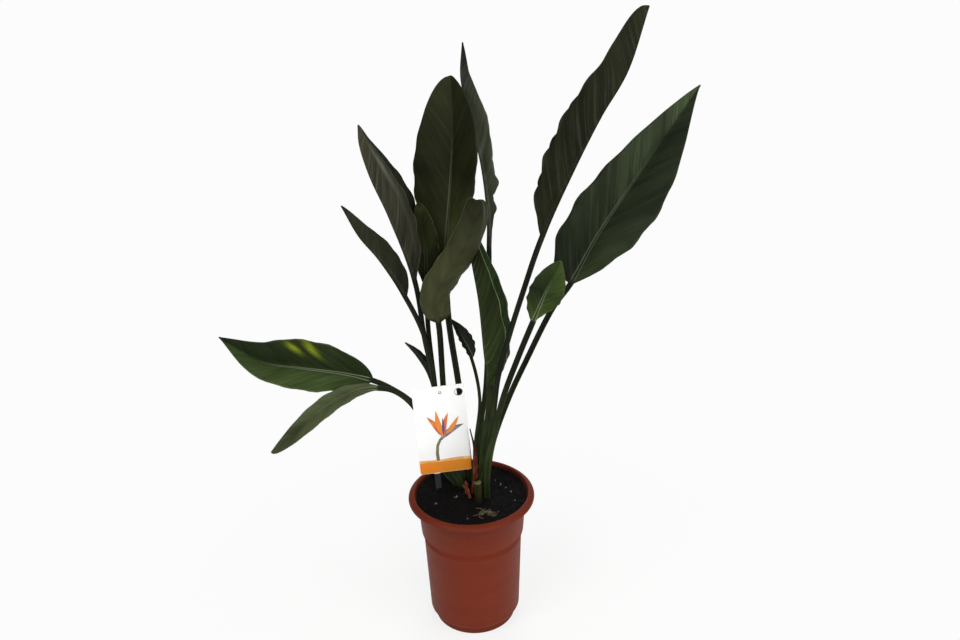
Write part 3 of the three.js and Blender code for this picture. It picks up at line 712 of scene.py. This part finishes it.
# Scatters crumpled grains over faces, or puts one at each point.
def makeScatterTree(spreadOut):
    inputs = {"Density": 1000.0, "Smallest": 0.3, "Largest": 1.0, "Flatness": 0.6, "Detail": 1, "Seed": 0}
    name = "scatteredGrains" if spreadOut else "placedGrains"
    net, given, out = shapeTree(name, {**inputs, "Material": "Material"})
    points = given["Geometry"]
    if spreadOut:
        settings = {"Density": given["Density"], "Seed": given["Seed"]}
        points = net.geometry("DistributePointsOnFaces", Mesh=points, **settings)

    def drawn(seed, low, high, kind="FLOAT_VECTOR"):
        first = 0 if kind == "FLOAT_VECTOR" else 2
        node = net.node("FunctionNodeRandomValue", {first: low, first + 1: high, "Seed": seed}, data_type=kind)
        return node.outputs[0 if kind == "FLOAT_VECTOR" else 1]

    ball = net.geometry("MeshIcoSphere", Radius=1.0, Subdivisions=given["Detail"])
    turnBy = drawn(given["Seed"], None, (6.28, 6.28, 6.28))
    share = net.maths("POWER", drawn(3, 0.0, 1.0, "FLOAT"), 3)
    grown = net.timesPlus(share, net.minus(given["Largest"], given["Smallest"]), given["Smallest"])
    scale = net.times(grown, mm)
    sx, sy, sz = net.split(drawn(9, (0.6, 0.7, 0.5), (1.5, 1.2, 1.0)))
    size = net.join(net.times(sx, scale), net.times(sy, scale), net.times(sz, given["Flatness"], scale))
    placed = net.geometry("InstanceOnPoints", Points=points, Instance=ball, Rotation=turnBy, Scale=size)
    real = net.geometry("RealizeInstances", Geometry=placed)
    inputs = {"Vector": net.geometry("InputPosition"), "Scale": 900.0}
    rough = net.node("ShaderNodeTexNoise", inputs).outputs["Color"]
    centred = net.node("ShaderNodeVectorMath", {0: rough, 1: (0.5, 0.5, 0.5)}, operation="SUBTRACT").outputs[0]
    crumpled = net.geometry("SetPosition", Geometry=real, Offset=net.scaled(centred, 0.0016))
    return closeTree(net, crumpled, given["Material"], out)


def makeTubeTree():
    net, given, out = shapeTree("fibreTubes", {"Radius": 0.0003, "Sides": 6, "Material": "Material"})
    line = net.geometry("MeshToCurve", Mesh=given["Geometry"])
    ring = net.geometry("CurvePrimitiveCircle", Resolution=given["Sides"], Radius=given["Radius"])
    tube = net.geometry("CurveToMesh", Curve=line, Profile_Curve=ring, Fill_Caps=True)
    return closeTree(net, net.geometry("SetShadeSmooth", Geometry=tube), given["Material"], out)


# Runs a node tree on a base object and returns the result as a plain mesh piece.
def applyTree(name, base, tree, values):
    modifier = base.modifiers.new("nodes", "NODES")
    modifier.node_group = tree
    for item in tree.interface.items_tree:
        if item.item_type == "SOCKET" and item.in_out == "INPUT" and item.name in values:
            modifier[item.identifier] = values[item.name]
    return plainPiece(name, base)


# The evaluated mesh of a piece with modifiers, which takes its place.
def plainPiece(name, base):
    graph = bpy.context.evaluated_depsgraph_get()
    mesh = bpy.data.meshes.new_from_object(base.evaluated_get(graph))
    base.modifiers.clear()
    bpy.data.objects.remove(base)
    mesh.name = name
    return linked(name, mesh)


# Pot: thin moulded plastic with a soft satin skin and scuffs, painted shade on the collar under the rim and on
# the rim, and a dark band inside the rim that is partly a soil mark and partly painted shade.

potFinish = {
    "clay": "#692511", "shade": "#5b1f0d", "bleached": "#8c4a32", "soilMarkAndShade": "#140d0b", "roughness": 0.5,
    "gloss": 0.13,
}

potShape = {
    "sides": 192, "drainHoles": 6, "drainRadius": 5, "drainRing": 34, "drainClear": 1.5, "drainStart": 30,
    "floor": 2.4, "rounding": 1.1,
    "outside": [(54, 0), (55.5, 1.5), (55.5, 11), (59.5, 13), (62, 17), (66.6, 133), (69.4, 140), (72.6, 182),
                (78, 193.5), (82.4, 191.9), (83.1, 189.5), (84.7, 189.5), (85, 191.5), (84.3, 193.5),
                (82, 195.5), (79.1, 197.2), (77.6, 197.5)],
    "inside": [(76.6, 196.7), (72.6, 187), (70.8, 178), (67.5, 141), (64.7, 134), (60.1, 18), (57.1, 14.9),
               (53.7, 13), (53.7, 2.4)],
}


def makePotMaterial(look):
    material, net = newMaterial("potPlastic")
    ink = inks(look)
    place = net.place()
    x, y, z = net.split(place)
    worn = net.group(dust, Vector=place, Scale=26, Amount=0.5)

    def stretched(flat, tall, scale):
        return net.noise(net.join(net.times(x, flat), net.times(y, flat), net.times(z, tall)), scale)

    mould = stretched(6, 22, 2)
    scuffs = net.remap(stretched(40, 700, 1), 0.62, 0.75)
    base = net.blend(ink["clay"], ink["shade"], net.remap(mould, 0.35, 0.7, 0, 0.6))
    base = net.blend(base, ink["bleached"], net.times(scuffs, 0.16))
    base = net.blend(base, ink["bleached"], net.times(worn["Mask"], 0.22))
    radius = net.fromAxis(x, y)
    # Inside the rim: a dark band, partly a soil mark and partly painted shade on the inner wall.
    inner = net.times(net.remap(net.timesPlus(z, 0.42, radius), 0.1588, 0.158), net.remap(z, 0.18, 0.184))
    stainAndShade = net.times(inner, net.remap(net.timesPlus(worn["Clouds"], 0.008, z), 0.2005, 0.196))
    base = net.blend(base, ink["soilMarkAndShade"], net.times(stainAndShade, 0.85))
    # Painted shade: the collar under the rim and the rim itself are darkened.
    collarShade = net.times(net.remap(z, 0.15, 0.18), net.remap(radius, 0.0765, 0.0745, 0, 0.22))
    step = net.times(net.remap(z, 0.13, 0.132), net.remap(z, 0.143, 0.141))
    rimShade = net.remap(z, 0.1855, 0.189, 0, 0.16)
    base = net.scaled(base, net.minus(1, net.maths("MAXIMUM", collarShade, rimShade)))
    rough = net.timesPlus(worn["Clouds"], 0.14, look["roughness"] - 0.07)
    rough = net.timesPlus(stainAndShade, 0.3, net.timesPlus(step, 0.4, rough))
    relief = net.maths("ADD", net.times(net.noise(place, 900, 2), 0.35), net.times(mould, 2))
    net.surface(base, rough, look["gloss"], net.bump(relief, 0.0004, 0.5))
    return material


# Rounds the corners of an open profile.
def rounded(points, radius, steps=4):
    result = [points[0]]
    for a, b, c in zip(*(map(Vector, points[i:]) for i in range(3))):
        reach = min(radius, (b - a).length * 0.45, (c - b).length * 0.45)
        start = b + (a - b).normalized() * reach
        end = b + (c - b).normalized() * reach
        for i in range(steps + 1):
            t = i / steps
            result.append(tuple(start.lerp(b, t).lerp(b.lerp(end, t), t)))
    return result + [points[-1]]


def faceOutwards(piece):
    made = bmesh.new()
    made.from_mesh(piece.data)
    bmesh.ops.remove_doubles(made, verts=made.verts, dist=1e-6)
    bmesh.ops.recalc_face_normals(made, faces=made.faces)
    made.to_mesh(piece.data)
    made.free()


def makePot(shape, material):
    floor, ring, radius = shape["floor"], shape["drainRing"], shape["drainRadius"]
    low, high = ring - radius - shape["drainClear"], ring + radius + shape["drainClear"]
    profile = [(0, 0), (low, 0), (high, 0)] + rounded(shape["outside"] + shape["inside"], shape["rounding"])
    profile += [(high, floor), (low, floor), (0, floor)]
    edges = [(i, i + 1) for i in range(len(profile) - 1)]
    base = meshPiece("potProfile", [(r, 0, z) for r, z in profile], edges)
    values = {"Sides": shape["sides"], "Count": len(profile), "Material": material}
    piece = applyTree("fine_pot", base, makeTurnedTree(), values)
    faceOutwards(piece)
    made = bmesh.new()
    for i in range(shape["drainHoles"]):
        angle = math.radians(shape["drainStart"] + 360 / shape["drainHoles"] * i)
        place = Matrix.Translation((ring * mm * math.cos(angle), ring * mm * math.sin(angle), 0.001))
        place = place @ Matrix.Rotation(0.05, 4, "Z")
        sizes = {"segments": 32, "radius1": radius * mm, "radius2": radius * mm, "depth": 0.008}
        bmesh.ops.create_cone(made, cap_ends=True, matrix=place, **sizes)
    cutter = bmeshPiece("drainCutters", made)
    cut = piece.modifiers.new("drain", "BOOLEAN")
    cut.operation = "DIFFERENCE"
    cut.object = cutter
    cut.solver = "EXACT"
    piece = plainPiece("fine_pot", piece)
    bpy.data.objects.remove(cutter)
    finish(piece, "pot")


makePot(potShape, makePotMaterial(potFinish))
print("pot turned")

# Soil: dark moist mix, lumpy on top, with crumbs, perlite and surface roots.

soilShape = {
    "sides": 220, "rings": 74, "lumps": 1.5, "seed": 7,
    "body": [(0, 2.7), (53.4, 2.7), (53.4, 13.4), (56.8, 15.3), (59.8, 18.3), (64.4, 134.3), (67.2, 141.3),
             (70.5, 178.3), (72.3, 187.3)],
    "edge": (74, 191.5), "top": [(0, 186.5), (34, 186.3), (56, 187.3), (69, 189.7), (74, 191.5)],
    "topAbove": 180, "leastUp": 0.3,  # which faces count as the top
}
crumbs = {
    "reach": 73,
    "grains": {"Density": 230000, "Smallest": 0.35, "Largest": 1.25, "Flatness": 0.7, "Detail": 1, "Seed": 11},
}
perlite = {
    "reach": 70,
    "grains": {"Density": 700, "Smallest": 0.3, "Largest": 1.1, "Flatness": 0.8, "Detail": 2, "Seed": 23},
    "lumps": {"Smallest": 1.1, "Largest": 1.9, "Flatness": 0.9, "Detail": 2, "Seed": 4}, "lumpRise": 0.7,
    "lumpPlaces": [(-20.2, 3), (-5.5, -49.7), (40.2, 27.4), (53.9, 9.3), (58.3, -13), (-23, 1), (33, 40),
                   (-48, -12), (47, 20)],
}
roots = {
    "centre": (18, -37), "spread": (13, 6), "count": 30, "radius": 0.34, "step": 0.9, "steps": (9, 20),
    "bend": (-0.5, 0.5), "arch": (0.6, 1.6), "seed": 5,
}


def makeSoilMaterial(name, dark, light, roughness, scale, depth):
    material, net = newMaterial(name)
    place = net.place()
    grain = net.noise(place, scale, 5, 0.65)
    clods = net.noise(place, scale * 0.16)
    base = net.blend(linear(dark), linear(light), net.remap(grain, 0.35, 0.7))
    base = net.blend(base, linear(dark), net.remap(clods, 0.4, 0.7, 0, 0.6))
    rough = net.remap(clods, 0.3, 0.7, roughness - 0.15, roughness)
    net.surface(base, rough, 0.12, net.bump(net.maths("ADD", grain, clods), depth, 0.9))
    return material


def soilLump(x, y):
    broad = noise.fractal(Vector((x * 0.13, y * 0.13, soilShape["seed"])), 0.9, 2.2, 4) * soilShape["lumps"]
    return broad + (abs(noise.noise(Vector((x * 0.55, y * 0.55, 3)))) * 0.7 - 0.3)


def soilHeight(x, y):
    return float(np.interp(math.hypot(x, y), *zip(*soilShape["top"]))) + soilLump(x, y)


def makeSoil(shape, material):
    radii = np.linspace(shape["edge"][0], 0, shape["rings"])[1:]
    heights = np.interp(radii, *zip(*shape["top"]))
    profile = shape["body"][1:] + [shape["edge"]] + list(zip(radii, heights))
    points, sides = [(0, 0, shape["body"][0][1])], shape["sides"]
    for k, (radius, height) in enumerate(profile[:-1]):
        for i in range(sides):
            angle = 2 * math.pi * i / sides
            x, y = radius * math.cos(angle), radius * math.sin(angle)
            points.append((x, y, height + (soilLump(x, y) if k >= len(shape["body"]) else 0)))
    points.append((0, 0, profile[-1][1]))
    last = len(points) - 1
    around = [(i, (i + 1) % sides) for i in range(sides)]
    faces = [(0, 1 + j, 1 + i) for i, j in around]
    for k in range(len(profile) - 2):
        a, b = 1 + k * sides, 1 + (k + 1) * sides
        faces += [(a + i, a + j, b + j, b + i) for i, j in around]
    a = 1 + (len(profile) - 2) * sides
    faces += [(a + i, a + j, last) for i, j in around]
    return finish(meshPiece("fine_soil", points, faces=faces, material=material), "soil")


# Grains scattered over the soil's top faces within a reach.
def scatterOn(name, settings, material):
    made = bmesh.new()
    made.from_mesh(soil.data)
    gone = []
    for face in made.faces:
        middle = face.calc_center_median() / mm
        upward = face.normal.z >= soilShape["leastUp"] and middle.z >= soilShape["topAbove"]
        if not upward or middle.xy.length > settings["reach"]:
            gone.append(face)
    bmesh.ops.delete(made, geom=gone, context="FACES")
    values = {**settings["grains"], "Material": material}
    return finish(applyTree(name, bmeshPiece(name + "Bed", made), scatterTree, values))


def makeRoots(shape, material):
    rng = random.Random(shape["seed"])
    points, edges = [], []
    for _ in range(shape["count"]):
        x, y = (shape["centre"][axis] + rng.gauss(0, 0.5) * shape["spread"][axis] for axis in (0, 1))
        heading, bend = rng.uniform(0, 2 * math.pi), rng.uniform(*shape["bend"])
        first = len(points)
        steps = rng.randint(*shape["steps"])
        for k in range(steps):
            arch = math.sin(math.pi * k / (steps - 1)) * rng.uniform(*shape["arch"])
            points.append((x, y, soilHeight(x, y) + arch))
            heading += bend + rng.uniform(*shape["bend"])
            x += math.cos(heading) * shape["step"]
            y += math.sin(heading) * shape["step"]
        edges += [(first + k, first + k + 1) for k in range(steps - 1)]
    values = {"Radius": shape["radius"] * mm, "Sides": 6, "Material": material}
    lines = meshPiece("rootLines", points, edges)
    finish(applyTree("surface_roots", lines, makeTubeTree(), values))


def makePerliteLumps(settings, material):
    points = [(x, y, soilHeight(x, y) + settings["lumpRise"]) for x, y in settings["lumpPlaces"]]
    values = {**settings["lumps"], "Material": material}
    spots = meshPiece("perliteSpots", points)
    finish(applyTree("perlite_lumps", spots, makeScatterTree(False), values))


soilMaterial = makeSoilMaterial("soilMix", "#030202", "#090404", 0.9, 420, 0.0014)
crumbMaterial = makeSoilMaterial("soilCrumb", "#030202", "#120a0a", 0.9, 300, 0.0006)
perliteMaterial = makeSoilMaterial("perliteGrain", "#4c5153", "#70777e", 0.8, 520, 0.0004)
rootMaterial = makeSoilMaterial("rootFibre", "#4a4434", "#7d7256", 0.75, 500, 0.0002)

soil = makeSoil(soilShape, soilMaterial)
scatterTree = makeScatterTree(True)
crumbPiece = scatterOn("soil_crumbs", crumbs, crumbMaterial)
perlitePiece = scatterOn("perlite_grains", perlite, perliteMaterial)
makeRoots(roots, rootMaterial)
makePerliteLumps(perlite, perliteMaterial)
print("soil:", len(crumbPiece.data.polygons), "crumb faces,", len(perlitePiece.data.polygons), "perlite faces")

# Label: a plastic card on its own stake, with a printed bloom and an orange band of the maker's own design.

labelShape = {
    "width": 70, "height": 130, "thickness": 0.8, "corner": 2, "stakeWidth": 8, "stakeLength": 37,
    "stakeOffset": -12.5, "ribHalf": 1.3, "ribEnds": (-24, -1), "foot": (-33.5, 26, 212), "yaw": 5.5,
    "lean": 2.6, "back": 2, "holes": [(26.8, 119, 4.9), (2, 121, 1.5)],
}

printColours = inks({
    "band": "#cc7f14", "bandPale": "#efc98a", "petal": "#e07a12", "petalDeep": "#b32a22", "tongue": "#3a3478",
    "beak": "#4f4a50", "beakLight": "#8d838a", "stem": "#7d7645",
})


def labelPlace(shape):
    turn = Matrix.Rotation(math.radians(shape["yaw"]), 4, "Z")
    turn = turn @ Matrix.Rotation(math.radians(-shape["back"]), 4, "X")
    turn = turn @ Matrix.Rotation(math.radians(-shape["lean"]), 4, "Y")
    turn = turn @ Matrix.Rotation(math.pi / 2, 4, "X")
    return Matrix.Translation(Vector(shape["foot"]) * mm) @ turn


def arcPoints(x, y, radius, start, end, steps):
    angles = [math.radians(start + (end - start) * i / steps) for i in range(steps + 1)]
    return [(x + radius * math.cos(angle), y + radius * math.sin(angle)) for angle in angles]


# A flat outline with holes, given a thickness, in the label's own plane; mapped in decimetres.
def makePlate(name, loops, low, high, place, material, node=None):
    made = bmesh.new()
    edges = []
    for loop in loops:
        verts = [made.verts.new((x * mm, y * mm, low * mm)) for x, y in loop]
        edges += [made.edges.new((verts[i], verts[(i + 1) % len(verts)])) for i in range(len(verts))]
    filled = bmesh.ops.triangle_fill(made, use_beauty=True, use_dissolve=False, edges=edges)
    faces = [item for item in filled["geom"] if isinstance(item, bmesh.types.BMFace)]
    grown = bmesh.ops.extrude_face_region(made, geom=faces)
    raised = [item for item in grown["geom"] if isinstance(item, bmesh.types.BMVert)]
    bmesh.ops.translate(made, vec=(0, 0, (high - low) * mm), verts=raised)
    bmesh.ops.recalc_face_normals(made, faces=made.faces)
    layer = made.loops.layers.uv.new("labelUv")
    for face in made.faces:
        for corner in face.loops:
            corner[layer].uv = (corner.vert.co.x * 10, corner.vert.co.y * 10)
    made.transform(place)
    piece = bmeshPiece(name, made)
    piece.data.materials.append(material)
    finish(piece, node)


def makeCardMaterial(shape):
    material, net = newMaterial("labelPlastic")
    x, y = net.split(net.uv("labelUv"))[0:2]
    worn = net.group(dust, Vector=net.place(), Scale=45, Amount=0.4)
    base = net.blend(linear("#eaeae9"), linear("#efefed"), net.remap(worn["Clouds"], 0.35, 0.7))
    base = net.blend(linear("#2c2e2e"), base, net.remap(y, -0.012, -0.004))  # the stake is dark grey
    for holeX, holeY, radius in shape["holes"]:
        # Painted shade: a dark ring just round each hole, for its shadowed edge.
        away = net.fromAxis(net.minus(x, holeX * 0.01), net.minus(y, holeY * 0.01))
        edge = net.remap(away, radius * 0.01 + 0.0085, radius * 0.01 + 0.005)
        base = net.blend(base, linear("#3d3436"), edge)
    base = net.blend(base, linear("#b9b2a2"), net.times(worn["Mask"], 0.25))
    rough = net.timesPlus(worn["Clouds"], 0.12, 0.3)
    net.surface(base, rough, normal=net.bump(worn["Clouds"], 0.0003, 0.3))
    return material


def makePrintMaterial(name, colour, other, scale):
    material, net = newMaterial(name)
    at = net.uv("labelUv")
    base = net.blend(printColours[colour], printColours[other], net.remap(net.noise(at, scale, 4), 0.35, 0.65))
    base = net.blend(base, linear("#f3ead8"), net.remap(net.noise(at, 260, 1), 0.55, 0.7, 0, 0.14))
    net.surface(base, 0.34)
    return material


# An outline along a line of points, each with its half width to the side.
def outlineAlong(line, halfWidths):
    left = [tuple(point + half) for point, half in zip(line, halfWidths)]
    right = [tuple(point - half) for point, half in zip(line, halfWidths)]
    return left, right[::-1]


# A lance-shaped outline from its base to its tip, bent to one side.
def petalOutline(base, tip, width, bend, steps=14):
    base, run = Vector(base), Vector(tip) - Vector(base)
    sideways = Vector((-run.y, run.x)).normalized()
    shares = [i / steps for i in range(steps + 1)]
    line = [base + run * t + sideways * bend * math.sin(math.pi * t) for t in shares]
    halfWidths = [width * 0.5 * (math.sin(math.pi * t ** 0.8) ** 0.9) + 0.12 * (1 - t) for t in shares]
    left, right = outlineAlong(line, [sideways * half for half in halfWidths])
    return left + right[1:]  # the tip is one point


def stripOutline(points, widths):
    line, sides = [Vector(point) for point in points], []
    for i, width in enumerate(widths):
        run = line[min(i + 1, len(line) - 1)] - line[max(i - 1, 0)]
        sides.append(Vector((-run.y, run.x)).normalized() * width * 0.5)
    left, right = outlineAlong(line, sides)
    return left + right


# Each print's name, outline, two colours and grain.
prints = [
    ("band", [(-35, 2), (-33, 0.3), (33, 0.3), (35, 2), (35, 17), (-35, 17)], "band", "petal", 3),
    ("band_edge", [(-35, 17), (35, 17), (35, 20.5), (20, 21.5), (-8, 20), (-35, 21.5)], "bandPale", "band", 5),
    ("stem", stripOutline([(-9, 19), (-9.5, 30), (-8, 42), (-4, 50), (1, 55)], [4.5, 4.2, 3.8, 3.6, 5]),
     "stem", "beak", 9),
    ("beak", petalOutline((-2, 52), (30, 71), 8.5, 3), "beak", "beakLight", 7),
    ("petal_1", petalOutline((-1, 56), (-19, 87), 7.5, -2), "petal", "petalDeep", 6),
    ("petal_2", petalOutline((0, 57), (-6, 95), 7, 1.5), "petal", "band", 6),
    ("petal_3", petalOutline((2, 57), (10, 90), 6.5, 2), "petal", "petalDeep", 5),
    ("petal_4", petalOutline((5, 59), (24, 84), 6, -1.5), "band", "petal", 6),
    ("tongue", petalOutline((1, 58), (2, 84), 3.4, -0.8), "tongue", "beak", 8),
]


def makeLabel(shape):
    place = labelPlace(shape)
    half, corner, height = shape["width"] / 2, shape["corner"], shape["height"]
    middle, reach, stakeHalf = shape["stakeOffset"], -shape["stakeLength"], shape["stakeWidth"] / 2
    left, right, point = middle - stakeHalf, middle + stakeHalf, 6 + reach  # the stake narrows from here
    outline = [(left, 0), (left, point), (middle - 1, reach), (middle + 1, reach), (right, point), (right, 0)]
    for x, y, start in ((1, 0, -90), (1, 1, 0), (-1, 1, 90), (-1, 0, 180)):
        middleOfArc = x * (half - corner), height - corner if y else corner
        outline += arcPoints(*middleOfArc, corner, start, start + 90, 8)
    holes = [arcPoints(x, y, radius, 0, 360, 40)[:-1] for x, y, radius in shape["holes"]]
    thick = shape["thickness"] / 2
    plastic = makeCardMaterial(shape)
    makePlate("fine_label", [outline] + holes, -thick, thick, place, plastic, "label")
    near, far, (low, high) = middle - shape["ribHalf"], middle + shape["ribHalf"], shape["ribEnds"]
    rib = [(near, low), (far, low), (far, high), (near, high)]
    makePlate("label_stake_rib", [rib], thick - 0.1, thick + 0.5, place, plastic)
    for level, (name, outline, colour, other, scale) in enumerate(prints):
        name = "print_" + name
        low = thick + 0.02 + 0.012 * level
        makePlate(name, [outline], low, low + 0.03, place, makePrintMaterial(name, colour, other, scale))


makeLabel(labelShape)
print("label made")

# Studio: a plain pale floor, a pale surround and soft lights.

studio = {
    "floor": "#f0f0ee", "seen": 0.975, "surround": 0.4, "nearGlow": 0.75, "lights": [
        ("keyLight", (-1.5, -1.6, 2.4), (0, 0, 0.35), (1.6, 1.6), 35),
        ("frontLight", (0.6, -2.4, 1.4), (0, 0, 0.4), (1.4, 1.2), 32),
        ("fillLight", (1.9, -1.0, 1.5), (0, 0, 0.35), (1.6, 1.6), 20),
        ("backLight", (0.3, 2.2, 2.2), (0, 0, 0.4), (2.0, 1.2), 26),
    ],
}


def areaLight(name, place, target, size, power):
    data = bpy.data.lights.new(name, "AREA")
    data.shape = "RECTANGLE"
    data.size, data.size_y = size
    data.energy = power
    light = linked(name, data)
    light.location = place
    light.rotation_euler = (Vector(target) - Vector(place)).to_track_quat("-Z", "Y").to_euler()


def makeStudio(look):
    made = bmesh.new()
    bmesh.ops.create_grid(made, x_segments=1, y_segments=1, size=6)
    floor = bmeshPiece("floor", made)
    material, net = newMaterial("studioFloor")
    x, y = net.split(net.place())[0:2]
    seen = net.node("ShaderNodeLightPath").outputs["Is Camera Ray"]
    glow = net.times(net.remap(net.fromAxis(x, y), 0.1, 0.5, look["nearGlow"], 1), seen)
    black, level = (0, 0, 0, 1), (look["seen"],) * 3 + (1.0,)
    lit = net.blend(black, level, glow)
    net.surface(net.blend(linear(look["floor"]), black, glow), 0.9, 0.0, glow=lit, glowStrength=1.0)
    floor.data.materials.append(material)
    world = bpy.data.worlds.new("surround")
    bpy.context.scene.world = world
    world.use_nodes = True
    net = Net(world.node_tree)
    background = net.tree.nodes["Background"].inputs
    seen = net.node("ShaderNodeLightPath").outputs["Is Camera Ray"]
    net.feed(background["Strength"], net.remap(seen, 0, 1, look["surround"], look["seen"]))
    background["Color"].default_value = (1, 1, 1, 1)
    for light in look["lights"]:
        areaLight(*light)
    bpy.context.scene.view_settings.view_transform = "Standard"


makeStudio(studio)
print("studio lit")
